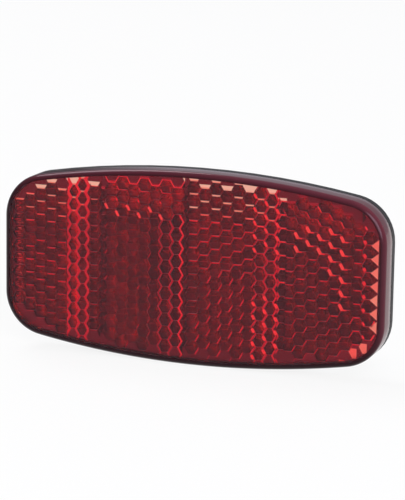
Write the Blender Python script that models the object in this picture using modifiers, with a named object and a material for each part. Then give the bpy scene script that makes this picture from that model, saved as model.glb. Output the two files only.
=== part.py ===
"""Rear reflector of a bicycle, made to be bolted to a carrier by two studs.

A clear red lens with a field of cube-corner prisms on its back is welded to a black base plate. The heads
of two hexagon-head screws are trapped between them, and each screw carries a washer, a spring washer and a
nut. The pieces are drawn face up on a board, with +Z towards the viewer, and one parent empty stands the
board up, so that the lens faces -Y. The origin is the middle of the flat seat on the back of the base plate.
Lengths are in metres.
"""

import math

import bmesh
import bpy

# Outline of the lens and of the base plate: straight sides, long edges that are shallow arcs, round corners.
overall_width = 0.0950
overall_height = 0.0462
long_edge_radius = 0.2180
corner_radius = 0.0106

# Lens, from its front face backwards.
lens_edge_rounding = 0.0013
lens_front_wall = 0.0020
lens_skirt_wall = 0.0017
prism_pitch = 0.00319
prism_root = 0.0002

# Base plate, with its locating lip inside the skirt and its bosses, seat and ribs on the back.
plate_thickness = 0.0018
plate_edge_rounding = 0.0006
lip_wall = 0.0012
lip_height = 0.0008
boss_wall = 0.0020
boss_floor = 0.0012
boss_edge_chamfer = 0.0004
seat_width = 0.0200
seat_height = 0.0140
seat_corner_radius = 0.0020
seat_wall = 0.0016
rib_width = 0.0016
rib_setback = 0.0012
rib_end_margin = 0.0040

# Fixings, M5, as bought.
stud_spacing = 0.0500
stud_diameter = 0.0050
stud_length = 0.0160
stud_tip_chamfer = 0.0005
hexagon_wall = 0.0015
hexagon_chamfer_angle = math.radians(30)
head_height = 0.0035
nut_height = 0.0040
washer_rim = 0.00235
washer_thickness = 0.0010
spring_washer_rim = 0.0018
spring_washer_thickness = 0.0012
spring_washer_split = 0.0010
spring_washer_split_angle = math.radians(20)

# Clearances.
seam_gap = 0.0003
lip_gap = 0.0003
prism_gap = 0.0004
pocket_gap = 0.0003
washer_gap = 0.00015
thread_gap = 0.0002

# Steps of the round shapes.
corner_steps = 10
long_edge_steps = 12
edge_rounding_steps = 5
round_steps = 40
overlap = 0.0005
smooth_angle = math.radians(35)

# Worked out from the values above. A cube standing on its corner shows a hexagon whose width across its
# flats is the prism pitch: its facets then reach back by two thirds of the cube's body diagonal.
prism_side = prism_pitch / math.sqrt(3)
prism_depth = prism_pitch * math.sqrt(2 / 3)
prism_stack = prism_root + prism_depth

stud_radius = stud_diameter / 2
across_flats = stud_diameter + 2 * hexagon_wall
pocket_across_flats = across_flats + 2 * pocket_gap
boss_radius = pocket_across_flats / math.sqrt(3) + boss_wall
boss_height = boss_floor + seam_gap + head_height - plate_thickness

corner_x = overall_width / 2 - corner_radius
long_edge_centre = overall_height / 2 - long_edge_radius
corner_reach = math.sqrt((long_edge_radius - corner_radius) ** 2 - corner_x ** 2)
corner_y = long_edge_centre + corner_reach
corner_start = math.atan2(corner_reach, corner_x)

plate_back = boss_height
plate_front = plate_back + plate_thickness
lip_top = plate_front + lip_height
skirt_edge = plate_front + seam_gap
prism_mouths = lip_top + prism_gap + prism_stack
lens_front = prism_mouths + lens_front_wall
stud_places = {"left": -stud_spacing / 2, "right": stud_spacing / 2}


def clear_scene():
    for item in list(bpy.data.objects):
        bpy.data.objects.remove(item, do_unlink=True)


def new_collection(name):
    collection = bpy.data.collections.new(name)
    bpy.context.scene.collection.children.link(collection)
    return collection


def new_material(name, colour, roughness, metallic=0.0):
    material = bpy.data.materials.new(name)
    material.use_nodes = True
    surface = material.node_tree.nodes["Principled BSDF"]
    surface.inputs["Base Color"].default_value = (*colour, 1.0)
    surface.inputs["Roughness"].default_value = roughness
    surface.inputs["Metallic"].default_value = metallic
    return material


clear_scene()
parts = new_collection("bicycle_rear_reflector")
cutters = new_collection("cutters")
red_lens = new_material("red_lens", (0.45, 0.01, 0.02), 0.12)
black_plastic = new_material("black_plastic", (0.02, 0.02, 0.022), 0.5)
zinc_steel = new_material("zinc_steel", (0.62, 0.63, 0.65), 0.32, 1.0)

board = bpy.data.objects.new("reflector_board", None)
parts.objects.link(board)
board.rotation_euler = (math.pi / 2, 0, 0)


def place(name, mesh, location=(0, 0, 0), material=None):
    """Put a mesh on the board as a part, or as a cutter if it has no material of its own."""
    item = bpy.data.objects.new(name, mesh)
    item.location = location
    item.parent = board
    if material:
        parts.objects.link(item)
        mesh.materials.append(material)
    else:
        cutters.objects.link(item)
        item.hide_render = True
        item.display_type = "WIRE"
    return item


def combine(target, other, operation):
    step = target.modifiers.new(f"{operation.lower()} {other.name}", "BOOLEAN")
    step.operation = operation
    step.object = other
    step.solver = "EXACT"


def on_both_sides(item):
    """Repeat a feature of one side on the other side of the board's middle."""
    mirror = item.modifiers.new("other side", "MIRROR")
    mirror.mirror_object = board
    mirror.use_mirror_merge = False
    return item


def shade_smooth(mesh):
    mesh.shade_smooth()
    mesh.set_sharp_from_angle(angle=smooth_angle)


def reflector_outline(inset):
    """Points of the outline, set in by the same distance all round, anticlockwise from the lower right."""
    corner = corner_radius - inset
    long_edge = long_edge_radius - inset
    upper = []
    for step in range(corner_steps + 1):
        angle = corner_start * step / corner_steps
        upper.append((corner_x + corner * math.cos(angle), corner_y + corner * math.sin(angle)))
    for step in range(1, long_edge_steps):
        angle = corner_start + (math.pi - 2 * corner_start) * step / long_edge_steps
        upper.append((long_edge * math.cos(angle), long_edge_centre + long_edge * math.sin(angle)))
    for x, y in reversed(upper[:corner_steps + 1]):
        upper.append((-x, y))
    lower = [(-x, -y) for x, y in upper]
    return upper + lower


def outline_block(name, inset, bottom, top):
    """A closed block with the reflector's outline, made from a flat curve."""
    points = reflector_outline(inset)
    curve = bpy.data.curves.new(name, "CURVE")
    curve.dimensions = "2D"
    curve.fill_mode = "BOTH"
    curve.extrude = (top - bottom) / 2
    spline = curve.splines.new("POLY")
    spline.points.add(len(points) - 1)
    for point, (x, y) in zip(spline.points, points):
        point.co = (x, y, 0, 1)
    spline.use_cyclic_u = True
    drawn = bpy.data.objects.new(name, curve)
    parts.objects.link(drawn)
    evaluated = drawn.evaluated_get(bpy.context.evaluated_depsgraph_get())
    mesh = bpy.data.meshes.new_from_object(evaluated)
    bpy.data.objects.remove(drawn, do_unlink=True)

    shape = bmesh.new()
    shape.from_mesh(mesh)
    bmesh.ops.remove_doubles(shape, verts=shape.verts, dist=1e-6)
    bmesh.ops.translate(shape, verts=shape.verts, vec=(0, 0, (top + bottom) / 2))
    bmesh.ops.recalc_face_normals(shape, faces=shape.faces)
    shape.to_mesh(mesh)
    shape.free()
    mesh.name = name
    return mesh


def round_rim(item, level, width):
    """Round the edge of a block's rim at one level of its height."""
    mesh = item.data
    weights = mesh.attributes.new("bevel_weight_edge", "FLOAT", "EDGE")
    faces_on_edge = [0] * len(mesh.edges)
    edge_numbers = {edge.key: edge.index for edge in mesh.edges}
    for face in mesh.polygons:
        for key in face.edge_keys:
            if abs(face.normal.z) < math.sin(smooth_angle):
                faces_on_edge[edge_numbers[key]] += 1
    for edge in mesh.edges:
        at_level = all(math.isclose(mesh.vertices[v].co.z, level, abs_tol=1e-6) for v in edge.vertices)
        if at_level and faces_on_edge[edge.index] == 1:
            weights.data[edge.index].value = 1.0
    bevel = item.modifiers.new("rounded rim", "BEVEL")
    bevel.limit_method = "WEIGHT"
    bevel.width = width
    bevel.segments = edge_rounding_steps


def box_mesh(name, size, bottom, edge_rounding=0.0):
    """A box standing on the level given, with its upright edges rounded."""
    mesh = bpy.data.meshes.new(name)
    shape = bmesh.new()
    bmesh.ops.create_cube(shape, size=1)
    bmesh.ops.scale(shape, verts=shape.verts, vec=size)
    bmesh.ops.translate(shape, verts=shape.verts, vec=(0, 0, bottom + size[2] / 2))
    if edge_rounding:
        upright = [e for e in shape.edges if abs(e.verts[0].co.z - e.verts[1].co.z) > size[2] / 2]
        bmesh.ops.bevel(shape, geom=upright, offset=edge_rounding, segments=edge_rounding_steps,
                        profile=0.5, affect="EDGES")
    shape.to_mesh(mesh)
    shape.free()
    return mesh


def cylinder_mesh(name, radius, bottom, top, steps=round_steps):
    mesh = bpy.data.meshes.new(name)
    shape = bmesh.new()
    bmesh.ops.create_cone(shape, cap_ends=True, segments=steps, radius1=radius, radius2=radius,
                          depth=top - bottom)
    bmesh.ops.translate(shape, verts=shape.verts, vec=(0, 0, (top + bottom) / 2))
    shape.to_mesh(mesh)
    shape.free()
    shade_smooth(mesh)
    return mesh


def hexagon_mesh(name, across_flats, bottom, top):
    corner_distance = across_flats / math.sqrt(3)
    return cylinder_mesh(name, corner_distance, bottom, top, steps=6)


def turned(name, profile, location, material=None, closed=False):
    """A turned shape, from a profile of (radius, height) points that runs down its outer side."""
    mesh = bpy.data.meshes.new(name)
    edges = [(i, i + 1) for i in range(len(profile) - 1)]
    if closed:
        edges.append((len(profile) - 1, 0))
    mesh.from_pydata([(radius, 0, height) for radius, height in profile], edges, [])
    item = place(name, mesh, location, material)
    screw = item.modifiers.new("turn", "SCREW")
    screw.steps = round_steps
    screw.render_steps = round_steps
    screw.use_merge_vertices = True
    screw.merge_threshold = 1e-6
    screw.use_smooth_shade = True
    return item


def chamfer_gauge(name, bottom, top, chamfer_bottom, location):
    """What a lathe leaves of a hexagon: a round bar whose ends are cones that touch the flats."""
    flats = across_flats / 2
    corner = across_flats / math.sqrt(3)
    drop = (corner - flats) * math.tan(hexagon_chamfer_angle)
    outer = corner + overlap
    outer_drop = drop + overlap * math.tan(hexagon_chamfer_angle)
    foot = [(outer, bottom + outer_drop), (flats, bottom)] if chamfer_bottom else [(outer, bottom)]
    profile = [(0, top), (flats, top), (outer, top - outer_drop), *foot, (0, bottom)]
    return turned(name, profile, location)


# Lens: one clear red moulding. Its back carries the prisms, each the corner of a cube, side by side.
def inside_outline(x, y, inset):
    """Whether a point lies within the reflector's outline set in by a distance."""
    x, y = abs(x), abs(y)
    in_corner = x > corner_x and y > corner_y and math.atan2(y - corner_y, x - corner_x) < corner_start
    if in_corner:
        return math.hypot(x - corner_x, y - corner_y) < corner_radius - inset
    under_long_edge = math.hypot(x, y - long_edge_centre) < long_edge_radius - inset
    return under_long_edge and x < overall_width / 2 - inset


def prism_centres():
    """Centres of the hexagons that fit whole inside the skirt, column by column."""
    column_pitch = 1.5 * prism_side
    columns = math.ceil(overall_width / 2 / column_pitch)
    rows = math.ceil(overall_height / 2 / prism_pitch)
    centres = []
    for column in range(-columns, columns + 1):
        shift = prism_pitch / 2 if column % 2 else 0
        for row in range(-rows, rows + 1):
            x = column * column_pitch
            y = row * prism_pitch + shift
            corners = [(x + px, y + py) for px, py in hexagon_corners()]
            if all(inside_outline(cx, cy, lens_skirt_wall) for cx, cy in corners):
                centres.append((x, y))
    return centres


def hexagon_corners():
    turns = [math.pi / 3 * k for k in range(6)]
    return [(prism_side * math.cos(turn), prism_side * math.sin(turn)) for turn in turns]


def prism_block(name, bottom, top):
    """The prisms as one block. Each cell is a corner of a cube: three square facets round an apex."""
    apex_level = bottom
    near_level = apex_level + prism_depth / 2
    far_level = apex_level + prism_depth
    shape = bmesh.new()
    for x, y in prism_centres():
        apex = shape.verts.new((x, y, apex_level))
        ring = []
        for k, (px, py) in enumerate(hexagon_corners()):
            level = far_level if k % 2 else near_level
            ring.append(shape.verts.new((x + px, y + py, level)))
        for k in (0, 2, 4):
            shape.faces.new((apex, ring[k], ring[k + 1], ring[(k + 2) % 6]))
    bmesh.ops.remove_doubles(shape, verts=shape.verts, dist=1e-6)
    grown = bmesh.ops.extrude_face_region(shape, geom=shape.faces[:])
    for item in grown["geom"]:
        if isinstance(item, bmesh.types.BMVert):
            item.co.z = top
    bmesh.ops.recalc_face_normals(shape, faces=shape.faces)
    mesh = bpy.data.meshes.new(name)
    shape.to_mesh(mesh)
    shape.free()
    return mesh


def make_lens():
    body = outline_block("lens", 0, skirt_edge, lens_front)
    lens = place("lens", body, material=red_lens)
    round_rim(lens, lens_front, lens_edge_rounding)
    cavity = outline_block("lens_cavity", lens_skirt_wall, skirt_edge - overlap, prism_mouths)
    combine(lens, place("lens_cavity", cavity), "DIFFERENCE")
    prisms = prism_block("lens_prisms", lip_top + prism_gap, prism_mouths + lens_front_wall / 2)
    combine(lens, place("lens_prisms", prisms), "UNION")


make_lens()


# Base plate: one black moulding, welded to the skirt. Its lip locates the lens; its back takes the
# screws.
def outline_height_at(x):
    """Height of the outline's upper edge above the board's middle."""
    if x > corner_x:
        return corner_y + math.sqrt(corner_radius ** 2 - (x - corner_x) ** 2)
    return long_edge_centre + math.sqrt(long_edge_radius ** 2 - x ** 2)


def make_base_plate():
    slab = outline_block("base_plate", 0, plate_back, plate_front)
    plate = place("base_plate", slab, material=black_plastic)
    round_rim(plate, plate_back, plate_edge_rounding)

    lip_inset = lens_skirt_wall + lip_gap
    middle = (plate_back + plate_front) / 2
    combine(plate, place("plate_lip", outline_block("plate_lip", lip_inset, middle, lip_top)), "UNION")
    inside = outline_block("lip_inside", lip_inset + lip_wall, plate_front, lip_top + overlap)
    combine(plate, place("lip_inside", inside), "DIFFERENCE")

    rib_depth = plate_back - rib_setback + overlap
    rib_size = (overall_width - 2 * rib_end_margin, rib_width, rib_depth)
    combine(plate, place("long_rib", box_mesh("long_rib", rib_size, rib_setback)), "UNION")
    cross_rib_size = (rib_width, 2 * (outline_height_at(stud_spacing / 2) - rib_end_margin), rib_depth)
    cross_rib = box_mesh("cross_rib", cross_rib_size, rib_setback)

    seat_size = (seat_width, seat_height, boss_height + overlap)
    combine(plate, place("seat", box_mesh("seat", seat_size, 0, seat_corner_radius)), "UNION")
    boss_profile = [(0, middle), (boss_radius, middle), (boss_radius, boss_edge_chamfer),
                    (boss_radius - boss_edge_chamfer, 0), (0, 0)]
    stud_place = (stud_spacing / 2, 0, 0)
    combine(plate, on_both_sides(place("cross_ribs", cross_rib, stud_place)), "UNION")
    combine(plate, on_both_sides(turned("bosses", boss_profile, stud_place)), "UNION")

    core_size = (seat_width - 2 * seat_wall, seat_height - 2 * seat_wall, plate_front + overlap - seat_wall)
    combine(plate, place("seat_core", box_mesh("seat_core", core_size, seat_wall)), "DIFFERENCE")
    pocket = hexagon_mesh("pockets", pocket_across_flats, boss_floor, plate_front + overlap)
    combine(plate, on_both_sides(place("pockets", pocket, stud_place)), "DIFFERENCE")
    bore = cylinder_mesh("stud_bores", stud_radius + pocket_gap, -overlap, middle)
    combine(plate, on_both_sides(place("stud_bores", bore, stud_place)), "DIFFERENCE")


make_base_plate()


# Studs: hexagon-head screws, dropped into the pockets from the front. Their fine thread is left plain here.
def make_stud(side, x):
    head_bottom = boss_floor + seam_gap
    head_top = head_bottom + head_height
    tip = head_bottom - stud_length
    stud = place(f"stud_{side}", hexagon_mesh(f"stud_{side}", across_flats, head_bottom, head_top),
                 (x, 0, 0), zinc_steel)
    combine(stud, chamfer_gauge(f"head_gauge_{side}", head_bottom, head_top, False, (x, 0, 0)), "INTERSECT")
    shank_top = head_bottom + overlap
    shank_profile = [(0, shank_top), (stud_radius, shank_top), (stud_radius, tip + stud_tip_chamfer),
                     (stud_radius - stud_tip_chamfer, tip), (0, tip)]
    combine(stud, turned(f"shank_{side}", shank_profile, (x, 0, 0)), "UNION")


# Washers, spring washers and nuts: they sit behind each boss in that order, as when the reflector is
# bolted up.
def make_ring(name, x, seat, clearance, rim, thickness):
    """A flat ring on the stud, just behind the seat given. Returns the ring and the level of its back."""
    top = seat - seam_gap
    bottom = top - thickness
    inner = stud_radius + clearance
    outer = inner + rim
    profile = [(outer, top), (outer, bottom), (inner, bottom), (inner, top)]
    return turned(name, profile, (x, 0, 0), zinc_steel, closed=True), bottom


def split_ring(washer, side, x, level):
    """Saw a slanting split through the upper side of a spring washer."""
    size = (spring_washer_split, boss_radius, 3 * spring_washer_thickness)
    split = place(f"split_{side}", box_mesh(f"split_{side}", size, -size[2] / 2), (x, size[1] / 2, level))
    split.rotation_euler = (0, spring_washer_split_angle, 0)
    combine(washer, split, "DIFFERENCE")


def make_nut(side, x, seat):
    top = seat - seam_gap
    bottom = top - nut_height
    nut = place(f"nut_{side}", hexagon_mesh(f"nut_{side}", across_flats, bottom, top), (x, 0, 0), zinc_steel)
    combine(nut, chamfer_gauge(f"nut_gauge_{side}", bottom, top, True, (x, 0, 0)), "INTERSECT")
    bore = cylinder_mesh(f"nut_bore_{side}", stud_radius + thread_gap, bottom - overlap, top + overlap)
    combine(nut, place(f"nut_bore_{side}", bore, (x, 0, 0)), "DIFFERENCE")


for stud_side, stud_x in stud_places.items():
    make_stud(stud_side, stud_x)
    plain_washer, washer_back = make_ring(
        f"washer_{stud_side}", stud_x, 0, washer_gap, washer_rim, washer_thickness)
    spring_washer, spring_washer_back = make_ring(
        f"spring_washer_{stud_side}", stud_x, washer_back, washer_gap, spring_washer_rim,
        spring_washer_thickness)
    split_ring(spring_washer, stud_side, stud_x, (washer_back + spring_washer_back) / 2)
    make_nut(stud_side, stud_x, spring_washer_back)
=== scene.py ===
import math
import random

import bmesh
import bpy
from mathutils import Matrix, Vector


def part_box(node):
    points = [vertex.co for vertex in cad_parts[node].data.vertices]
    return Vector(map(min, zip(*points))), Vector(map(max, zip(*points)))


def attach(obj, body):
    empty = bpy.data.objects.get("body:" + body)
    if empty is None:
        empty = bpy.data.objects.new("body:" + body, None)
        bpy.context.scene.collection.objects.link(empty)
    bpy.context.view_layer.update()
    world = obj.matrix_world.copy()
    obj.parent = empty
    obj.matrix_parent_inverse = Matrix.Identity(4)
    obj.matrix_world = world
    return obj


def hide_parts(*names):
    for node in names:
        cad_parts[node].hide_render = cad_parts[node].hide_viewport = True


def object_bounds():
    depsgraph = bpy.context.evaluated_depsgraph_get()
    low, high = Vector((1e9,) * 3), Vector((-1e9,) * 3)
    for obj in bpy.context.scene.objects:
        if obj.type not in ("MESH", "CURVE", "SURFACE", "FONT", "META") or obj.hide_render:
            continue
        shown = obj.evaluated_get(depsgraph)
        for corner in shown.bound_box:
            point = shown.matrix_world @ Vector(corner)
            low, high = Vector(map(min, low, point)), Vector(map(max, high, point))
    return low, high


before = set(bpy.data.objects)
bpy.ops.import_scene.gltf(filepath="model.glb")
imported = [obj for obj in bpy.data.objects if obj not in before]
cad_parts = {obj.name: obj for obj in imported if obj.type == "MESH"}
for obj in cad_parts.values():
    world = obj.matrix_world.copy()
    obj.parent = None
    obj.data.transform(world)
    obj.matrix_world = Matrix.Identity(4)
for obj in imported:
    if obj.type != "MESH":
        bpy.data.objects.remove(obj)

cad_box = [list(corner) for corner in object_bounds()]


# Camera: it stands to the right of the reflector and a little above it, half a metre away, and looks at it
# through a long lens. The focal length is the one at which the photograph's 500 pixels of height show the
# reflector at its size.
lens_low, lens_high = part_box("lens")
lens_front = lens_low.y
photo_height = 500
photo_focal_length = 2417.79
sensor_height = 36.0
view_turn = math.radians(20.072)
view_rise = math.radians(11.908)
view_roll = math.radians(0.938)
view_distance = 0.56616
view_aim_right = 0.003033
view_aim_up = 0.004724

towards_camera = Vector((math.sin(view_turn) * math.cos(view_rise),
                         -math.cos(view_turn) * math.cos(view_rise), math.sin(view_rise)))
level_right = Vector((math.cos(view_turn), math.sin(view_turn), 0))
level_up = towards_camera.cross(level_right)
camera_right = level_right * math.cos(view_roll) + level_up * math.sin(view_roll)
camera_up = level_up * math.cos(view_roll) - level_right * math.sin(view_roll)
camera_data = bpy.data.cameras.new("camera")
camera_data.sensor_width = sensor_height
camera_data.lens = photo_focal_length * sensor_height / photo_height
camera_data.clip_start = 0.01
camera_data.clip_end = 50
camera = bpy.data.objects.new("camera", camera_data)
bpy.context.scene.collection.objects.link(camera)
camera_place = (Vector((0, lens_front, 0)) + towards_camera * view_distance
                + level_right * view_aim_right + level_up * view_aim_up)
camera.matrix_world = (Matrix.Translation(camera_place)
                       @ Matrix((camera_right, camera_up, towards_camera)).transposed().to_4x4())
bpy.context.scene.camera = camera
bpy.context.scene.view_settings.view_transform = "Standard"


# Floor and light: the reflector stands on a pale sheet in a light room. A broad lamp stands in front of it on
# the right, and a long one hangs above it on the left and draws the light line along the upper rim. The sheet
# looks white, and keeps the soft shadow.
class Signal:
    """A value that varies over a surface. Arithmetic on it adds the Math nodes of its material."""

    def __init__(self, socket):
        self.socket = socket

    def math(self, operation, *values):
        step = add_node(self.socket.id_data, "ShaderNodeMath", {"operation": operation},
                        dict(enumerate(values)))
        return Signal(step.outputs[0])

    def __add__(self, other):
        return self.math("ADD", self, other)

    def __radd__(self, other):
        return self.math("ADD", other, self)

    def __sub__(self, other):
        return self.math("SUBTRACT", self, other)

    def __rsub__(self, other):
        return self.math("SUBTRACT", other, self)

    def __mul__(self, other):
        return self.math("MULTIPLY", self, other)

    def __rmul__(self, other):
        return self.math("MULTIPLY", other, self)

    def __truediv__(self, other):
        return self.math("DIVIDE", self, other)

    def at_most(self, other):
        return self.math("MINIMUM", self, other)

    def at_least(self, other):
        return self.math("MAXIMUM", self, other)

    def from_0_to_1(self):
        return self.at_least(0.0).at_most(1.0)


def add_node(tree, kind, settings=None, inputs=None):
    """Any node: its settings are set first, and then the values or links of its sockets."""
    node = tree.nodes.new(kind)
    for name, value in (settings or {}).items():
        if name == "stops":
            ramp = node.color_ramp
            while len(ramp.elements) < len(value):
                ramp.elements.new(0.5)
            for stop, (place, colour) in zip(ramp.elements, value):
                stop.position = place
                stop.color = (*colour, 1)
        else:
            setattr(node, name, value)
    for name, value in (inputs or {}).items():
        socket = node.inputs[name]
        if isinstance(value, Signal):
            tree.links.new(value.socket, socket)
        elif isinstance(value, tuple) and socket.type == "RGBA":
            socket.default_value = (*value, 1)
        else:
            socket.default_value = value
    return node


class Finish:
    """A material made of nodes. Each word given to set is an input of its main surface."""

    def __init__(self, name, **inputs):
        self.material = bpy.data.materials.new(name)
        self.material.use_nodes = True
        self.tree = self.material.node_tree
        self.surface = self.tree.nodes["Principled BSDF"]
        self.set(**inputs)

    def set(self, **inputs):
        for name, value in inputs.items():
            socket = self.surface.inputs[name.replace("_", " ").title().replace("Ior", "IOR")]
            if isinstance(value, Signal):
                self.tree.links.new(value.socket, socket)
            elif isinstance(value, tuple):
                socket.default_value = (*value, 1)
            else:
                socket.default_value = value

    def node(self, kind, settings=None, inputs=None, output=0):
        return Signal(add_node(self.tree, kind, settings, inputs).outputs[output])

    def mix(self, factor, first, second):
        """A colour between two others."""
        return self.node("ShaderNodeMix", {"data_type": "RGBA"}, {0: factor, 6: first, 7: second}, 2)

    def place(self):
        """A point's place in the reflector's own frame."""
        return self.node("ShaderNodeTexCoord", output=3)

    def noise(self, scale, detail, vector=None):
        inputs = {"Scale": scale, "Detail": detail, "Vector": vector or self.place()}
        return self.node("ShaderNodeTexNoise", inputs=inputs)

    def show_mix(self, factor, first, second):
        """Show one surface where the factor is 0 and the other where it is 1."""
        shown = add_node(self.tree, "ShaderNodeMixShader", inputs={0: factor})
        self.tree.links.new(first.outputs[0], shown.inputs[1])
        self.tree.links.new(second.outputs[0], shown.inputs[2])
        self.tree.links.new(shown.outputs[0], self.tree.nodes["Material Output"].inputs[0])

    def bump(self, height, strength, distance, edge_radius=0.0):
        """Small relief. An edge radius makes sharp edges catch the light as if they were a little rounded."""
        inputs = {"Height": height, "Strength": strength, "Distance": distance}
        if edge_radius:
            inputs["Normal"] = self.node("ShaderNodeBevel", {"samples": 6}, {"Radius": edge_radius})
        return self.node("ShaderNodeBump", inputs=inputs)


floor_half = 6.0
sheet_whiteness = 0.86
floor_mesh = bpy.data.meshes.new("floor")
floor_mesh.from_pydata([(-floor_half, -floor_half, 0), (floor_half, -floor_half, 0),
                        (floor_half, floor_half, 0), (-floor_half, floor_half, 0)], [], [(0, 1, 2, 3)])
floor = bpy.data.objects.new("floor", floor_mesh)
floor.location.z = cad_box[0][2]
bpy.context.scene.collection.objects.link(floor)

pale_sheet = Finish("pale_sheet", base_color=(0.9, 0.9, 0.9), roughness=0.7)
seen = [pale_sheet.node("ShaderNodeLightPath", output=name)
        for name in ("Is Camera Ray", "Is Glossy Ray", "Is Transmission Ray")]
seen_directly = seen[0].at_least(seen[1]).at_least(seen[2])
white = add_node(pale_sheet.tree, "ShaderNodeEmission", inputs={"Color": (1.0, 1.0, 1.0), "Strength": 1.0})
pale_sheet.show_mix(seen_directly * sheet_whiteness, pale_sheet.surface, white)
floor_mesh.materials.append(pale_sheet.material)

room = bpy.data.worlds.new("room")
room.use_nodes = True
facing = add_node(room.node_tree, "ShaderNodeTexCoord").outputs["Generated"]
depth_way = add_node(room.node_tree, "ShaderNodeSeparateXYZ", inputs={0: Signal(facing)}).outputs[1]
room_tone = add_node(room.node_tree, "ShaderNodeValToRGB", {"stops": [
    (0.0, (0.33, 0.34, 0.37)), (0.5, (0.44, 0.44, 0.48)), (1.0, (0.54, 0.55, 0.61))]},
    {0: Signal(depth_way) * 0.5 + 0.5})
room.node_tree.links.new(room_tone.outputs[0], room.node_tree.nodes["Background"].inputs["Color"])
bpy.context.scene.world = room


def soft_lamp(name, place, width, depth, power):
    """An oval lamp that points at the reflector."""
    lamp_data = bpy.data.lights.new(name, "AREA")
    lamp_data.shape = "ELLIPSE"
    lamp_data.size = width
    lamp_data.size_y = depth
    lamp_data.energy = power
    lamp = bpy.data.objects.new(name, lamp_data)
    lamp.location = place
    lamp.rotation_euler = (-Vector(place)).to_track_quat("-Z", "Y").to_euler()
    bpy.context.scene.collection.objects.link(lamp)


soft_lamp("front_lamp", (1.0, -1.55, 0.62), width=1.4, depth=1.4, power=40)
soft_lamp("overhead_lamp", (-0.85, 0.30, 1.45), width=1.5, depth=0.42, power=12)


# Lens shell: the outside of the clear red moulding, 5.7 mm deep, with a small rounding all round its front.
# The flat front is a window 2 mm thick over the prisms. The skirt looks dark, as its inside is closed, and is
# painted darker still on its left, as painted shade; the rounding is painted lighter where it faces up and to
# the right, as painted light. It is welded to the black plate, with a fine groove along the weld.
overall_width = cad_box[1][0] - cad_box[0][0]
overall_height = cad_box[1][2] - cad_box[0][2]
long_edge_radius = 0.2180
corner_radius = 0.0106
edge_rounding = 0.0013
front_wall = 0.0020
skirt_wall = 0.0017
skirt_foot_rounding = 0.0003
groove_inset = 0.0003
groove_width = 0.0003
hollow_recess = 0.0009
window_rings = (0.00132, 0.00172, 0.0040)
round_middle = 0.3
corner_steps = 18
long_edge_steps = 36
rounding_steps = 10

corner_x = overall_width / 2 - corner_radius
long_edge_centre = overall_height / 2 - long_edge_radius
corner_reach = math.sqrt((long_edge_radius - corner_radius) ** 2 - corner_x ** 2)
corner_z = long_edge_centre + corner_reach
corner_start = math.atan2(corner_reach, corner_x)
mouth_level = lens_front + front_wall
skirt_back = lens_high.y
groove_back = skirt_back + groove_width
hollow_back = skirt_back - hollow_recess


def reflector_outline(inset):
    """Points of the outline, set in by the same distance all round, anticlockwise from the lower right."""
    corner = corner_radius - inset
    long_edge = long_edge_radius - inset
    upper = []
    for step in range(corner_steps + 1):
        angle = corner_start * step / corner_steps
        upper.append((corner_x + corner * math.cos(angle), corner_z + corner * math.sin(angle)))
    for step in range(1, long_edge_steps):
        angle = corner_start + (math.pi - 2 * corner_start) * step / long_edge_steps
        upper.append((long_edge * math.cos(angle), long_edge_centre + long_edge * math.sin(angle)))
    for x, z in reversed(upper[:corner_steps + 1]):
        upper.append((-x, z))
    lower = [(-x, -z) for x, z in upper]
    return upper + lower


def lofted(shape, rings):
    """Walls from ring to ring of the outline, each an inset and a level. Returns the rows and the walls."""
    rows = [[shape.verts.new((x, level, z)) for x, z in reflector_outline(inset)] for inset, level in rings]
    walls = []
    for near, far in zip(rows, rows[1:]):
        count = len(near)
        walls.append([shape.faces.new((near[k], near[(k + 1) % count], far[(k + 1) % count], far[k]))
                      for k in range(count)])
    return rows, walls


def finished_mesh(name, shape, smooth_below=50):
    """The mesh of a shape, smooth except at edges that turn by more than some degrees."""
    mesh = bpy.data.meshes.new(name)
    bmesh.ops.recalc_face_normals(shape, faces=shape.faces)
    shape.to_mesh(mesh)
    shape.free()
    mesh.shade_smooth()
    mesh.set_sharp_from_angle(angle=math.radians(smooth_below))
    return mesh


def add_piece(name, mesh, slot, *finishes, replaced):
    """Put a mesh in the scene as a piece that moves with the reflector."""
    piece = bpy.data.objects.new(name, mesh)
    bpy.context.scene.collection.objects.link(piece)
    for finish in finishes:
        mesh.materials.append(finish.material)
    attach(piece, "root")
    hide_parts(replaced)


shell_profile = [(skirt_wall, hollow_back), (skirt_wall, groove_back), (groove_inset, groove_back),
                 (groove_inset, skirt_back - skirt_foot_rounding * 0.2), (skirt_foot_rounding, skirt_back),
                 (skirt_foot_rounding * round_middle, skirt_back - skirt_foot_rounding * round_middle),
                 (0, skirt_back - skirt_foot_rounding), (0, (skirt_back + lens_front + edge_rounding) / 2)]
for step in range(rounding_steps + 1):
    angle = math.pi / 2 * step / rounding_steps
    shell_profile.append((edge_rounding * (1 - math.cos(angle)),
                          lens_front + edge_rounding * (1 - math.sin(angle))))
shell_profile += [(inset, lens_front) for inset in window_rings]

shell = bmesh.new()
shell_rows, shell_walls = lofted(shell, shell_profile)
window_faces = [shell.faces.new(shell_rows[-1])] + shell_walls[-1] + shell_walls[-2]
shell.faces.new(list(reversed(shell_rows[0])))
for face in window_faces:
    face.material_index = 1

# Painted light: the rounding's base colour is painted lighter where its normal faces up and to the right.
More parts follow.
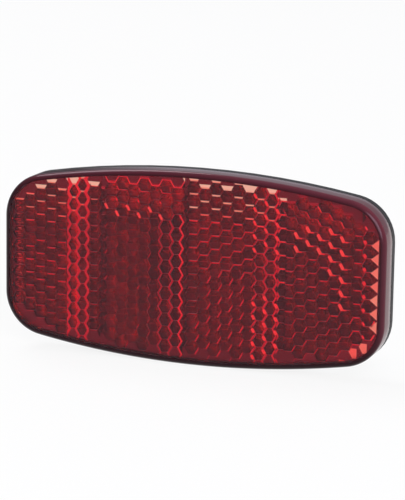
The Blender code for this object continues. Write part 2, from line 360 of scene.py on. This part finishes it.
painted_light_way = (0.60, 0.10, 0.80)
painted_shade_start = -0.004
painted_shade_run = 0.026
deepest_painted_shade = 0.85
rim_red = Finish("rim_red", roughness=0.12, ior=1.40, specular_tint=(0.42, 0.34, 0.42))
skirt_depth = rim_red.node("ShaderNodeSeparateXYZ", inputs={0: rim_red.place()}, output=1)
on_skirt = ((skirt_depth - (lens_front + edge_rounding * 0.5)) / edge_rounding).from_0_to_1()
painted_light_facing = rim_red.node("ShaderNodeVectorMath", {"operation": "DOT_PRODUCT"},
                           {0: rim_red.node("ShaderNodeTexCoord", output=1), 1: painted_light_way}, 1)
painted_light_share = ((painted_light_facing + 0.2) * 0.9).from_0_to_1()
painted_light_rim_tone = rim_red.mix(painted_light_share, (0.012, 0.002, 0.003), (0.110, 0.022, 0.034))
rim_red.set(base_color=rim_red.mix(on_skirt, painted_light_rim_tone, (0.085, 0.011, 0.017)))
# Painted shade: on the skirt's left a dull near-black surface is mixed in, deeper towards the left end.
along_rim = rim_red.node("ShaderNodeSeparateXYZ", inputs={0: rim_red.place()})
painted_shade_side = ((painted_shade_start - along_rim) / painted_shade_run).from_0_to_1() * on_skirt * deepest_painted_shade
painted_shade_red = add_node(rim_red.tree, "ShaderNodeBsdfPrincipled", inputs={
    "Base Color": (0.020, 0.008, 0.012), "Roughness": 0.4, "Specular IOR Level": 0.0, "IOR": 1.01})
rim_red.show_mix(painted_shade_side, rim_red.surface, painted_shade_red)

window_clear = Finish("window_clear", base_color=(1.0, 0.80, 0.78), roughness=0.0, ior=1.49,
                      transmission_weight=1.0, specular_tint=(0.42, 0.48, 0.56))
add_piece("lens_shell", finished_mesh("lens_shell", shell), "red_lens", rim_red, window_clear,
          replaced="lens")


# Prisms: the back of the window, a field of hexagonal cube corners in panels, each with its own rows and
# steps.
# The facets look dark, as they send light back where it came from. The thin steps between them, and the flat
# lands where the field's border cuts a prism short, have the light they catch painted into their colour.
prism_pitch = 0.00319
prism_side = prism_pitch / math.sqrt(3)
prism_depth = prism_pitch * math.sqrt(2 / 3)
facet_slope = math.sqrt(2)
column_pitch = 1.5 * prism_side
half_pitch = prism_pitch / 2
field_inset = 0.0014
field_right = 0.0457
ridge_width = 0.00009
glint_level = mouth_level - 0.00003
wall_back = mouth_level + prism_depth - 0.00002
whole_share = 0.985
low_land_reach = 1.07
panel_slack = 0.0006
touching = 1e-7
smallest_area = 1e-8
edge_directions = {"upper_right": 30, "upper_left": 150, "lower_left": 210, "bottom": 270, "lower_right": 330}
hexagon = [(prism_side * math.cos(math.radians(60 * k)), prism_side * math.sin(math.radians(60 * k)))
           for k in range(6)]
facet_directions = [(math.cos(math.radians(a)), math.sin(math.radians(a))) for a in (0, 120, 240)]
chance = random.Random(7)


def clipped(polygon, normal, reach):
    """The part of a polygon that lies within a distance, along a direction."""
    kept = []
    for (ax, az), (bx, bz) in zip(polygon, polygon[1:] + polygon[:1]):
        a = ax * normal[0] + az * normal[1] - reach
        b = bx * normal[0] + bz * normal[1] - reach
        if a <= 0:
            kept.append((ax, az))
        if (a < 0 < b) or (b < 0 < a):
            share = a / (a - b)
            kept.append((ax + (bx - ax) * share, az + (bz - az) * share))
    return kept


border_sides = [((1, 0), field_right)]
field_border = reflector_outline(field_inset)
for (ax, az), (bx, bz) in zip(field_border, field_border[1:] + field_border[:1]):
    length = math.hypot(bx - ax, bz - az)
    normal = ((bz - az) / length, -(bx - ax) / length)
    border_sides.append((normal, ax * normal[0] + az * normal[1]))


def within_border(polygon):
    """The part of a polygon that lies inside the field's border."""
    for normal, reach in border_sides:
        if any(x * normal[0] + z * normal[1] > reach for x, z in polygon):
            polygon = clipped(polygon, normal, reach)
            if len(polygon) < 3:
                return []
    return polygon


def area(polygon):
    pairs = zip(polygon, polygon[1:] + polygon[:1])
    return abs(sum(ax * bz - bx * az for (ax, az), (bx, bz) in pairs)) / 2


def rising(value, low, high):
    """0 up to the low end, 1 from the high end on, and a straight climb between them."""
    return max(0.0, min(1.0, (value - low) / (high - low)))


def steps_along(width, glow, *edges):
    """Steps of one width and one glow along some of a prism's edges."""
    return {edge: (width, glow) for edge in edges}


def glint(edge, width, glow, first, last, inwards=0.0):
    """A painted glint: a short bright stroke painted on an edge. It runs from one share of the edge's length
    to another, counted from the middle of the edge, and may lie further in on the prism."""
    return edge, width, glow, first, last, inwards


# What shows in each panel. A function gets a prism's centre and gives its steps, by edge, and its glints. The
# higher the painted glow of a step or a glint, from 0 to 1, the paler its painted light; many are painted
# paler towards the top. Low is the height of the prism's bottom edge.
def left_panel_steps(x, z):
    low = z - half_pitch
    if low > 0.0075:
        steps = steps_along(0.00028, 0.64 + 0.20 * rising(low, 0.0085, 0.0135), "bottom")
    elif low > 0.0045:
        steps = steps_along(0.00020, 0.28, "bottom")
    else:
        steps = steps_along(0.00028, 0.50 - 0.18 * rising(-low, 0.006, 0.014), "bottom")
    glints = []
    if -0.0450 < x < -0.0430:
        steps = steps_along(0.00012, 0.36, "bottom")
        for line in range(6):
            first = chance.uniform(-0.45, -0.1)
            glints.append(glint("bottom", 0.00009, chance.uniform(0.44, 0.78),
                                first, first + chance.uniform(0.25, 0.5),
                                inwards=0.0003 + 0.0005 * line + chance.uniform(0, 0.0002)))
            glints.append(glint("lower_right", 0.00009, chance.uniform(0.44, 0.70), first, first + 0.22,
                                inwards=0.0006 + 0.0004 * line))
    return steps, glints


def left_seam_steps(x, z):
    low = z - half_pitch
    glow = 0.45 + 0.12 * rising(z, 0.010, 0.016)
    outer, inner = 0.00062 + 0.0002 * rising(z, 0.010, 0.016), 0.00030
    left_width, right_width = (outer, inner) if x < -0.0290 else (inner, outer)
    steps = {**steps_along(left_width, glow, "upper_left", "lower_left"),
             **steps_along(right_width, glow, "upper_right", "lower_right"),
             **steps_along(0.00016, 0.40, "bottom")}
    if low > 0.0085:
        steps["bottom"] = (0.00036, 0.66 + 0.16 * rising(low, 0.010, 0.015))
    return steps, []


def left_end_steps(x, z):
    low = z - half_pitch
    steps = steps_along(0.00016, 0.26, "lower_right", "lower_left")
    steps["bottom"] = (0.00022, 0.36 + 0.38 * rising(low, 0.0125, 0.014))
    return steps, []


second_panel_first = -0.02304
second_panel_columns = 8
stroke_rows = (0.01260, 0.01419)


def second_panel_steps(x, z):
    column = round((x - second_panel_first) / column_pitch)
    is_odd = column % 2
    if z > 0.0180:
        if is_odd:
            return steps_along(0.00026, 0.58, "bottom", "lower_left", "lower_right"), []
        return steps_along(0.00020, 0.48, "bottom"), [glint("lower_left", 0.00020, 0.50, -0.1, 0.5)]
    if abs(z - stroke_rows[is_odd]) < 0.0003:
        has_stroke = 0 < column < second_panel_columns - 1
        strokes = [glint("lower_left", 0.00064, 0.66, -0.40, 0.48)] if has_stroke else []
        return steps_along(0.00012, 0.32, "bottom", "lower_left"), strokes
    if z > 0.0130:
        has_stroke = column > 0 and not is_odd
        strokes = [glint("lower_left", 0.00034, 0.60, -0.30, 0.10)] if has_stroke else []
        return steps_along(0.00010, 0.26, "bottom", "lower_right"), strokes
    near_end = rising(x, -0.0135, -0.0045)
    steps = {}
    if x > -0.0135:
        steps = steps_along(0.00008 + 0.00018 * near_end, 0.26 + 0.18 * near_end,
                            "upper_right", "lower_right")
    if x > -0.0080:
        steps.update(steps_along(0.00010 + 0.00012 * near_end, 0.38, "upper_left", "lower_left"))
        steps.update(steps_along(0.00010, 0.28, "bottom"))
    if x > -0.0045:
        steps.update(steps_along(0.00042, 0.54, "upper_right", "lower_right"))
    glints = []
    if chance.random() < 0.5:
        glints.append(glint("lower_right", 0.00016, chance.uniform(0.20, 0.46), -0.3, 0.4))
    return steps, glints


def middle_panel_steps(x, z):
    low = z - half_pitch
    if x < -0.0020:
        return steps_along(0.00010, 0.26, "lower_right"), []
    if low > 0.0105:
        steps = {**steps_along(0.00034, 0.50 + 0.40 * rising(low, 0.0108, 0.0144), "bottom"),
                 **steps_along(0.00008, 0.26, "lower_right")}
        return steps, [glint("lower_right", 0.00014, 0.40, -0.2, 0.6)] if chance.random() < 0.4 else []
    if low > -0.0008:
        return {**steps_along(0.00028, 0.38 + 0.12 * rising(low, -0.001, 0.003), "bottom"),
                **steps_along(0.00018, 0.42, "lower_right")}, []
    if x < 0.0020 and low > -0.0135:
        return {**steps_along(0.00020, 0.38, "bottom"), **steps_along(0.00010, 0.30, "lower_right")}, []
    return steps_along(0.00020, 0.42, "lower_right"), [
        glint("lower_right", 0.00022, chance.uniform(0.42, 0.52), -0.62, 0.42),
        glint("bottom", 0.00012, 0.30, 0.0, 0.5)]


def right_seam_steps(x, z):
    low = z - half_pitch
    steps = steps_along(0.00022, 0.40, "upper_left", "lower_left", "upper_right", "lower_right")
    steps["bottom"] = (0.00028, 0.42) if low > -0.001 else (0.00016, 0.32)
    if x > 0.0190:
        steps.update(steps_along(0.00042, 0.48, "upper_right", "lower_right"))
    glints = []
    if low > 0.0105:
        steps["bottom"] = (0.00036, 0.66 + 0.20 * rising(low, 0.012, 0.017))
    if z > 0.0062:
        glints.append(glint("lower_left", 0.00062, 0.63, -0.40, 0.34))
    elif z < -0.0035:
        steps.update(steps_along(0.00034, 0.44, "lower_left", "upper_left"))
        glints.append(glint("lower_left", 0.00076, 0.63, -0.34, 0.34))
    return steps, glints


def right_end_steps(x, z):
    steps, glints = right_seam_steps(x, z)
    del steps["lower_right"], steps["upper_right"]
    steps.update(steps_along(0.00034, 0.48, "upper_left", "lower_left"))
    steps["bottom"] = (0.00034, 0.60) if z > -0.001 else (0.00012, 0.30)
    return steps, glints


def right_panel_steps(x, z):
    if z > 0.0130:
        glints = []
        if chance.random() < 0.6:
            glints.append(glint("lower_left", 0.00022, chance.uniform(0.40, 0.66), -0.5, 0.5))
        return steps_along(0.00012, 0.34, "bottom", "lower_left"), glints
    if x > 0.0400:
        return ({**steps_along(0.00026, 0.52, "bottom"), **steps_along(0.00018, 0.40, "lower_right")},
                [glint("upper_right", 0.0004, 0.62, -0.45, 0.1)])
    lowest = -0.0058 if x > 0.0370 else 0.0025 if x > 0.0340 else 0.0070
    if z > lowest:
        steps = steps_along(0.00016, 0.42, "bottom", "lower_left")
        if x < 0.0250:
            return steps, []
        return steps, [glint("lower_left", 0.00080, 0.66, -0.38, 0.62),
                       glint("bottom", 0.00034, 0.60, -0.5, 0.1)]
    steps = steps_along(0.00014, 0.36, "bottom", "lower_right")
    if z > -0.0070:
        return steps, [glint("bottom", 0.00026, chance.uniform(0.40, 0.52), -0.5, 0.5)]
    return steps, [glint("lower_right", 0.00020, chance.uniform(0.34, 0.56), -0.5, 0.5)]


def end_panel_steps(x, z):
    if z < -0.0050:
        return (steps_along(0.00016, 0.38, "bottom", "lower_left"),
                [glint("lower_right", 0.00034, 0.62, -0.5, 0.5)])
    return (steps_along(0.00014, 0.40, "bottom", "lower_left", "upper_left"),
            [glint("lower_left", 0.0003, 0.60, -0.1, 0.5)])


# The lands. Each cut prism has a patch painted as lit, which stands on its foot, up to a height and to a
# limit on the right, and a rest painted darker, as painted light and shade. The top lands are given by
# column: the height of the patch and its painted glow.
top_lands = {-0.0440: (0.0005, 0.78), -0.0413: (0.0004, 0.62), -0.0330: (0.0005, 0.86),
             -0.0302: (0.0021, 0.98), -0.0024: (0.0, 0.16), 0.0225: (0.0009, 0.98)}
bright_low_lands = (-0.0440, -0.0385, -0.0357, -0.0302, 0.0298, 0.0353, 0.0381, 0.0408, 0.0432)
column_slack = 0.0005
no_limit = 1.0
left_lands_x = -0.0450
right_lands_x = 0.0440


def land_light(x, z, middle_x):
    """The height of the patch painted as lit, its limit on the right, its painted glow and that of the rest.
    """
    if middle_x > right_lands_x:
        return 0.0, no_limit, 0.12, 0.12
    if x < left_lands_x:
        return 0.0, no_limit, 0.0, 0.14
    if z > 0:
        for column_x, (height, bright) in top_lands.items():
            if abs(x - column_x) < column_slack:
                return height, no_limit, bright, 0.16
        if -0.0240 < x < -0.0024:
            return 0.0006, no_limit, chance.uniform(0.26, 0.40), 0.14
        if x > 0.0240:
            return 0.0006, no_limit, chance.uniform(0.20, 0.40), 0.14
        height = 0.0012 if -0.0340 < x < 0.0 else 0.0010 + 0.0010 * rising(x, 0.008, 0.014)
        return height, no_limit, 0.98, 0.16
    if any(abs(x - bright) < column_slack for bright in bright_low_lands):
        return 0.0024 if x > 0.0400 else 0.0010, x + 0.0001, chance.uniform(0.68, 0.80), 0.18
    return 0.0006, no_limit, chance.uniform(0.18, 0.40), 0.13


# Each panel: its left and right limits, the centre of its first column and of one prism in that column, the
# number of columns, the tone of its facets, painted lighter in the seams against the shade of their wide
# steps, and the steps that show in it.
prism_panels = [
    (-0.0480, -0.03163, -0.04404, 0.01133, 6, 1.00, left_panel_steps),
    (-0.03163, -0.0259, -0.03025, 0.00974, 2, 1.62, left_seam_steps),
    (-0.0259, -0.0229, -0.02472, 0.00974, 1, 0.95, left_end_steps),
    (-0.0229, -0.00187, second_panel_first, 0.01259, second_panel_columns, 1.05, second_panel_steps),
    (-0.00187, 0.01555, -0.00236, 0.01776, 7, 1.05, middle_panel_steps),
    (0.01555, 0.0213, 0.01698, 0.01619, 3, 1.25, right_seam_steps),
    (0.0213, 0.0232, 0.02253, 0.01619, 1, 0.95, right_end_steps),
    (0.0232, 0.04145, 0.02426, 0.00959, 7, 1.00, right_panel_steps),
    (0.04145, 0.0480, 0.04324, 0.00778, 2, 1.05, end_panel_steps),
]
glintless_height = 0.0130
stepless_land_x = 0.0405
stroke_taper = 0.12
step_wall_painted_glow = 0.16
triangle_left, triangle_right = 0.0437, 0.0455
triangle_half_height = 0.00143
triangle_height_limit = 0.0115
upper_rows_z = 0.0110
upper_rows_tone = 1.25
sheet_points, sheet_faces, sheet_painted_glow, sheet_tone = [], [], [], []


def add_face(points, glow, tone=1.0):
    """A face of the prism sheet. A painted glow of 0 makes it a facet, and then its tone sets how light it
    is.
    """
    if len(points) < 3:
        return
    first = len(sheet_points)
    sheet_points.extend(points)
    sheet_faces.append(tuple(range(first, first + len(points))))
    sheet_painted_glow.append(glow)
    sheet_tone.append(tone)


def add_prism(centre_x, centre_z, left, right, panel_tone, steps_at):
    """One prism: its glints and steps, and its facets, or its land where the border cuts it short."""
    in_panel = clipped([(centre_x + x, centre_z + z) for x, z in hexagon], (-1, 0), -left)
    in_panel = clipped(in_panel, (1, 0), right)
    outer = within_border(in_panel) if len(in_panel) > 2 else []
    if len(outer) < 3 or area(outer) < smallest_area:
        return
    reach = low_land_reach if centre_z < 0 else 1.0
    whole = within_border([(centre_x + x * reach, centre_z + z * reach) for x, z in hexagon])
    is_land = area(whole) < whole_share * area(hexagon) * reach ** 2

    def centre_along(normal):
        return centre_x * normal[0] + centre_z * normal[1]

    def at_mouth(x, z):
        return mouth_level

    def on_facet(x, z):
        reach = max((x - centre_x) * ex + (z - centre_z) * ez for ex, ez in facet_directions)
        return mouth_level + max(0.0, prism_depth - facet_slope * reach)

    def add_part(polygon, level, painted_part_glow, part_tone=1.0):
        """A part of the prism. Where it ends at the panel's limit, a wall slopes back like a facet."""
        add_face([(x, level(x, z), z) for x, z in polygon], painted_part_glow, part_tone)
        for limit, outwards in ((left, -1), (right, 1)):
            edge = [(x, z) for x, z in polygon if abs(x - limit) < touching]
            foot = [(x + outwards * (wall_back - level(x, z)) / facet_slope, z) for x, z in reversed(edge)]
            wall = within_border(edge + foot)
            add_face([(x, level(limit, z) + abs(x - limit) * facet_slope, z) for x, z in wall],
                     0.0, panel_tone)

    middle_x = sum(x for x, z in outer) / len(outer)
    steps, glints = steps_at(centre_x, centre_z)
    if not left - panel_slack < centre_x < right + panel_slack:
        steps, glints = {}, []
    if is_land and abs(centre_z) > glintless_height:
        glints = []
    if is_land and middle_x > stepless_land_x:
        steps, glints = {}, []

    for edge, width, glow, first, last, inwards in glints:
        angle = math.radians(edge_directions[edge])
        normal = Vector((math.cos(angle), math.sin(angle)))
        centre = Vector((centre_x, centre_z)) + normal * (half_pitch - inwards)
        along = Vector((-normal.y, normal.x)) * prism_side
        across = normal * width / 2
        taper = stroke_taper * (last - first)
        stroke = [centre + along * first, centre + along * (first + taper) - across,
                  centre + along * (last - taper) - across, centre + along * last,
                  centre + along * (last - taper) + across, centre + along * (first + taper) + across]
        stroke = within_border([(point.x, point.y) for point in stroke])
        add_face([(x, glint_level, z) for x, z in stroke], glow)

    inner = outer
    for edge, (width, glow) in steps.items():
        angle = math.radians(edge_directions[edge])
        normal = (math.cos(angle), math.sin(angle))
        reach = centre_along(normal) + half_pitch - width
        step = clipped(inner, (-normal[0], -normal[1]), -reach)
        inner = clipped(inner, normal, reach)
        add_part(step, at_mouth, glow * chance.uniform(0.94, 1.04))
        if not is_land:
            foot = [(x, z) for x, z in step if abs(x * normal[0] + z * normal[1] - reach) < touching]
            add_face([(x, mouth_level, z) for x, z in foot]
                     + [(x, on_facet(x, z), z) for x, z in reversed(foot)], step_wall_painted_glow)

    if is_land:
        lit_height, lit_right, lit, unlit = land_light(centre_x, centre_z, middle_x)
        foot = centre_z - half_pitch + lit_height
        # Bright triangles painted over the lands on the right: painted light.
        if middle_x > right_lands_x and abs(centre_z) < triangle_height_limit:
            add_face([(triangle_left, glint_level, centre_z),
                      (triangle_right, glint_level, centre_z - triangle_half_height),
                      (triangle_right, glint_level, centre_z + triangle_half_height)],
                     chance.uniform(0.78, 0.86))
        standing = clipped(inner, (0, 1), foot)
        add_part(clipped(standing, (1, 0), lit_right), at_mouth, lit)
        add_part(clipped(standing, (-1, 0), -lit_right), at_mouth, unlit)
        add_part(clipped(inner, (0, -1), -foot), at_mouth, unlit)
        return

    tone = panel_tone * chance.uniform(0.93, 1.07)
    if centre_z > upper_rows_z and steps_at in (second_panel_steps, right_panel_steps):
        tone *= upper_rows_tone
    for k in range(3):
        here, before, after = facet_directions[k], facet_directions[k - 1], facet_directions[(k + 1) % 3]
        to_before = (before[0] - here[0], before[1] - here[1])
        to_after = (after[0] - here[0], after[1] - here[1])
        facet = clipped(clipped(inner, to_before, centre_along(to_before)), to_after, centre_along(to_after))
        # Along one edge of each facet runs a thin ridge with a random painted glow: a painted highlight.
        ridge_reach = centre_along(to_before) - ridge_width
        ridge = clipped(facet, (-to_before[0], -to_before[1]), -ridge_reach)
        facet = clipped(facet, to_before, ridge_reach)
        add_part(ridge, on_facet, chance.uniform(0.06, 0.44))
        add_part(facet, on_facet, 0.0, tone * chance.uniform(0.95, 1.05))


for left, right, first_x, first_z, columns, panel_tone, steps_at in prism_panels:
    for column in range(-1, columns + 1):
        x = first_x + column * column_pitch
        start = first_z + (half_pitch if column % 2 else 0)
        lowest = math.ceil((-overall_height / 2 - start) / prism_pitch)
        highest = math.floor((overall_height / 2 - start) / prism_pitch)
        for row in range(lowest, highest + 1):
            add_prism(x, start + row * prism_pitch, left, right, panel_tone, steps_at)

# The hollow that the prisms lie in: walls from just under the window to the deepest prism, and a closed back.
hollow_wall = 0.0003
hollow_mouth = lens_front + 0.0004
hollow_floor = hollow_back - 0.0001
hollow = bmesh.new()
hollow_rows, _ = lofted(hollow, [(field_inset, mouth_level + prism_depth), (field_inset, hollow_mouth),
                                 (field_inset - hollow_wall, hollow_mouth),
                                 (field_inset - hollow_wall, hollow_floor)])
hollow.faces.new(hollow_rows[-1])
bmesh.ops.recalc_face_normals(hollow, faces=hollow.faces)
hollow_mesh = bpy.data.meshes.new("hollow")
hollow.to_mesh(hollow_mesh)
hollow.free()
for face in hollow_mesh.polygons:
    add_face([tuple(hollow_mesh.vertices[v].co) for v in face.vertices], 0.1)

prism_mesh = bpy.data.meshes.new("prism_field")
prism_mesh.from_pydata(sheet_points, [], sheet_faces)
for layer_name, values in (("glow", sheet_painted_glow), ("tone", sheet_tone)):
    prism_mesh.attributes.new(layer_name, "FLOAT", "FACE").data.foreach_set("value", values)

hatch_turn = math.radians(38)
hatch_stretch = (2.6, 1.0, 0.8)
hatch_contrast = 2.2
darkest_tone, tone_span = 0.6, 1.4
prism_red = Finish("prism_red", ior=1.49, specular_tint=(1.0, 0.16, 0.20))
glow = prism_red.node("ShaderNodeAttribute", {"attribute_name": "glow"}, output=2)
tone = prism_red.node("ShaderNodeAttribute", {"attribute_name": "tone"}, output=2)
# Painted light: the painted glow picks the colour of steps, lands and glints, from dark red to pale salmon.
painted_step_colour = prism_red.node("ShaderNodeValToRGB", {"stops": [
    (0.08, (0.11, 0.004, 0.010)), (0.22, (0.22, 0.005, 0.015)), (0.36, (0.42, 0.006, 0.020)),
    (0.50, (0.74, 0.008, 0.026)), (0.62, (0.98, 0.024, 0.038)), (0.74, (1.0, 0.12, 0.10)),
    (0.88, (1.0, 0.34, 0.25)), (1.0, (1.0, 0.66, 0.51))]}, {0: glow})
hatch_place = prism_red.node("ShaderNodeMapping", inputs={
    "Vector": prism_red.place(), "Rotation": (0.0, hatch_turn, 0.0), "Scale": hatch_stretch})
hatch = prism_red.noise(2300, 3, vector=hatch_place)
facet_shade = (tone - darkest_tone) / tone_span + (hatch - 0.5) * hatch_contrast
facet_colour = prism_red.mix(facet_shade, (0.17, 0.012, 0.026), (0.82, 0.032, 0.070))
is_facet = 1.0 - (glow * 20).at_most(1.0)
prism_red.set(base_color=prism_red.mix(is_facet, painted_step_colour, facet_colour), metallic=0.9 - is_facet * 0.20,
              roughness=0.30 - is_facet * 0.06)
add_piece("prism_field", prism_mesh, "red_lens", prism_red, replaced="lens")


# Base plate: the back of the reflector, one black moulding in tough plastic, welded to the lens all round. It
# keeps the shape of its solid. Its mould gave it a fine matt grain, and its edges are a little rounded.
plate_edge_rounding = 0.00022
plate_grain_height = 0.00005
black_grain = Finish("black_grain", ior=1.5, specular_ior_level=0.3)
coarse = black_grain.noise(900, 4)
fine = black_grain.noise(5200, 2)
black_grain.set(base_color=black_grain.mix(coarse, (0.012, 0.012, 0.013), (0.028, 0.027, 0.029)),
                roughness=0.42 + fine * 0.22,
                normal=black_grain.bump(fine * 0.6 + coarse * 0.4, 0.5, plate_grain_height,
                                        edge_radius=plate_edge_rounding))
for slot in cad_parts["base_plate"].material_slots:
    slot.material = black_grain.material


# Screws and nuts: M5 steel ones with a cut thread and chamfered hexagons, 8 mm across flats, plated with
# bright zinc. The screw heads sit in the plate's pockets, and the nuts run on the same thread.
screw_places = {"left": -0.0250, "right": 0.0250}
thread_pitch = 0.0008
thread_crest = 0.0025
thread_depth = 0.00049
thread_play = 0.00006
thread_form = [(0.0, 0.04), (0.02, 0.0), (0.10, 0.0), (0.12, 0.04), (0.44, 0.90), (0.50, 0.98),
               (0.5625, 1.0), (0.625, 0.98), (0.68, 0.90), (1.0, 0.04)]
screw_tip = cad_box[1][1]
screw_tip_chamfer = 0.0005
head_levels = (-0.0050, -0.0015)
nut_levels = (0.0031, 0.0071)
nut_mouth = 0.00272
hexagon_flat = 0.0040
hexagon_circle = 0.00385
hexagon_slope = math.tan(math.radians(30))
fastener_smoothing = 26
zinc_speck_height = 0.00002
flat_angles = (0.75, *range(5, 60, 5), 59.25)
round_angles = [math.radians(60 * side + angle) for side in range(6) for angle in flat_angles]


def thread_radius(angle, level):
    """How far a right-hand thread's surface is from its axis. The form gives shares of pitch and depth."""
    share = (level / thread_pitch - angle / (2 * math.pi)) % 1.0
    for (share_a, drop_a), (share_b, drop_b) in zip(thread_form, thread_form[1:]):
        if share <= share_b:
            drop = drop_a + (drop_b - drop_a) * (share - share_a) / (share_b - share_a)
            return thread_crest - thread_depth * drop
    return thread_crest


def hexagon_radius(angle):
    """How far a hexagon's flat is from its axis."""
    return hexagon_flat / math.cos(angle % math.radians(60) - math.radians(30))


def add_rows(shape, centre_x, rows, closed=True):
    """Walls over rows of points round an axis along Y. A point is an angle, a radius and a level."""
    rows = [[shape.verts.new((centre_x + radius * math.cos(angle), level, -radius * math.sin(angle)))
             for angle, radius, level in row] for row in rows]
    for near, far in zip(rows, rows[1:]):
        for k in range(len(near) if closed else len(near) - 1):
            after = (k + 1) % len(near)
            shape.faces.new((near[k], near[after], far[after], far[k]))
    return rows


def round_row(radius, level):
    return [(angle, radius, level) for angle in round_angles]


def hexagon_row(end, inwards):
    """The edge where a hexagon's chamfer meets its flats: an arc on each flat."""
    return [(angle, hexagon_radius(angle),
             end + inwards * (hexagon_radius(angle) - hexagon_circle) * hexagon_slope)
            for angle in round_angles]


def add_thread(shape, centre_x, low, high, radius_at):
    """A threaded wall. Its rows follow the thread, and its ends are cut off square."""
    rows = []
    for turn in range(math.floor(low / thread_pitch) - 2, math.ceil(high / thread_pitch) + 1):
        for share, _ in thread_form[:-1]:
            row = []
            for angle in [*round_angles, round_angles[0] + 2 * math.pi]:
                level = min(high, max(low, thread_pitch * (turn + share + angle / (2 * math.pi))))
                row.append((angle, radius_at(angle, level), level))
            rows.append(row)
    add_rows(shape, centre_x, rows, closed=False)


def screw_radius(angle, level):
    """The screw's thread, which runs out at the head and ends in a chamfered tip."""
    run_out = thread_crest - (level - head_levels[1])
    tip_cone = thread_crest - screw_tip_chamfer + screw_tip - level
    return min(max(thread_radius(angle, level), run_out), tip_cone, thread_crest)


def nut_radius(angle, level):
    """The nut's thread, a little wider than the screw's, with a countersunk mouth at both ends."""
    from_end = min(level - nut_levels[0], nut_levels[1] - level)
    return max(thread_radius(angle, level) + thread_play, nut_mouth - from_end)


def joined_mesh(name, shape, smooth_below):
    """A mesh whose walls are joined to one another, with its open ends filled."""
    bmesh.ops.remove_doubles(shape, verts=shape.verts, dist=1e-6)
    bmesh.ops.holes_fill(shape, edges=[edge for edge in shape.edges if edge.is_boundary])
    return finished_mesh(name, shape, smooth_below)


zinc_plate = Finish("zinc_plate", metallic=1.0, ior=1.5)
cloud = zinc_plate.noise(420, 3)
speck = zinc_plate.noise(3600, 2)
zinc_plate.set(base_color=zinc_plate.mix(cloud, (0.54, 0.56, 0.60), (0.74, 0.73, 0.70)),
               roughness=0.20 + speck * 0.16, normal=zinc_plate.bump(speck, 0.12, zinc_speck_height))

for side, screw_x in screw_places.items():
    screw = bmesh.new()
    add_rows(screw, screw_x, [round_row(hexagon_circle, head_levels[0]), hexagon_row(head_levels[0], 1),
                              [(angle, hexagon_radius(angle), head_levels[1]) for angle in round_angles],
                              round_row(thread_crest, head_levels[1])])
    add_thread(screw, screw_x, head_levels[1], screw_tip, screw_radius)
    add_piece(f"screw_{side}", joined_mesh(f"screw_{side}", screw, fastener_smoothing), "zinc_steel",
              zinc_plate, replaced=f"stud_{side}")

    nut = bmesh.new()
    add_rows(nut, screw_x, [round_row(nut_mouth, nut_levels[0]), round_row(hexagon_circle, nut_levels[0]),
                            hexagon_row(nut_levels[0], 1), hexagon_row(nut_levels[1], -1),
                            round_row(hexagon_circle, nut_levels[1]), round_row(nut_mouth, nut_levels[1])])
    add_thread(nut, screw_x, *nut_levels, nut_radius)
    add_piece(f"hexagon_nut_{side}", joined_mesh(f"hexagon_nut_{side}", nut, fastener_smoothing),
              "zinc_steel", zinc_plate, replaced=f"nut_{side}")


# Washers: steel rings under each nut, zinc plated too. One is plain and punched from sheet, with the edge
# that the punch rolled below. The other is a spring washer, coiled from flat wire, with a slanting split.
washer_bore = 0.00265
plain_rim = 0.0050
spring_rim = 0.00445
plain_levels = (0.0002, 0.0013)
spring_levels = (0.0016, 0.0028)
edge_roll = 0.00014
edge_burr = 0.00005
spring_rise = 0.00013
split_width = 0.0010
split_slant = math.tan(math.radians(20))
coil_steps = 80
washer_smoothing = 40


def washer_section(rim, low, high):
    """The outline of a ring's section, as radii and levels."""
    return [(washer_bore + edge_roll, low), (washer_bore, low + edge_roll), (washer_bore, high - edge_burr),
            (washer_bore + edge_burr, high), (rim - edge_burr, high), (rim, high - edge_burr),
            (rim, low + edge_roll), (rim - edge_roll * round_middle, low + edge_roll * round_middle),
            (rim - edge_roll, low)]


zinc_dull = Finish("zinc_dull", metallic=1.0, ior=1.5)
dull_cloud = zinc_dull.noise(500, 3)
dull_speck = zinc_dull.noise(4200, 2)
zinc_dull.set(base_color=zinc_dull.mix(dull_cloud, (0.40, 0.41, 0.43), (0.58, 0.57, 0.54)),
              roughness=0.30 + dull_speck * 0.18,
              normal=zinc_dull.bump(dull_speck, 0.2, zinc_speck_height))

for side, screw_x in screw_places.items():
    plain = bmesh.new()
    section = washer_section(plain_rim, *plain_levels)
    add_rows(plain, screw_x, [round_row(radius, level) for radius, level in [*section, section[0]]])
    add_piece(f"plain_washer_{side}", joined_mesh(f"plain_washer_{side}", plain, washer_smoothing),
              "zinc_steel", zinc_plate, replaced=f"washer_{side}")

    spring = bmesh.new()
    section = washer_section(spring_rim, *spring_levels)
    middle_radius = (washer_bore + spring_rim) / 2
    middle_level = sum(spring_levels) / 2
    half_split = split_width / 2 / middle_radius
    coils = []
    for step in range(coil_steps + 1):
        share = step / coil_steps
        angle = math.radians(-90) + half_split + share * 2 * (math.pi - half_split)
        coils.append([(angle - split_slant * (level - middle_level) / middle_radius, radius,
                       level + spring_rise * (1 - 2 * share)) for radius, level in section])
    add_rows(spring, screw_x, coils)
    add_piece(f"split_washer_{side}", joined_mesh(f"split_washer_{side}", spring, washer_smoothing),
              "zinc_steel", zinc_dull, replaced=f"spring_washer_{side}")
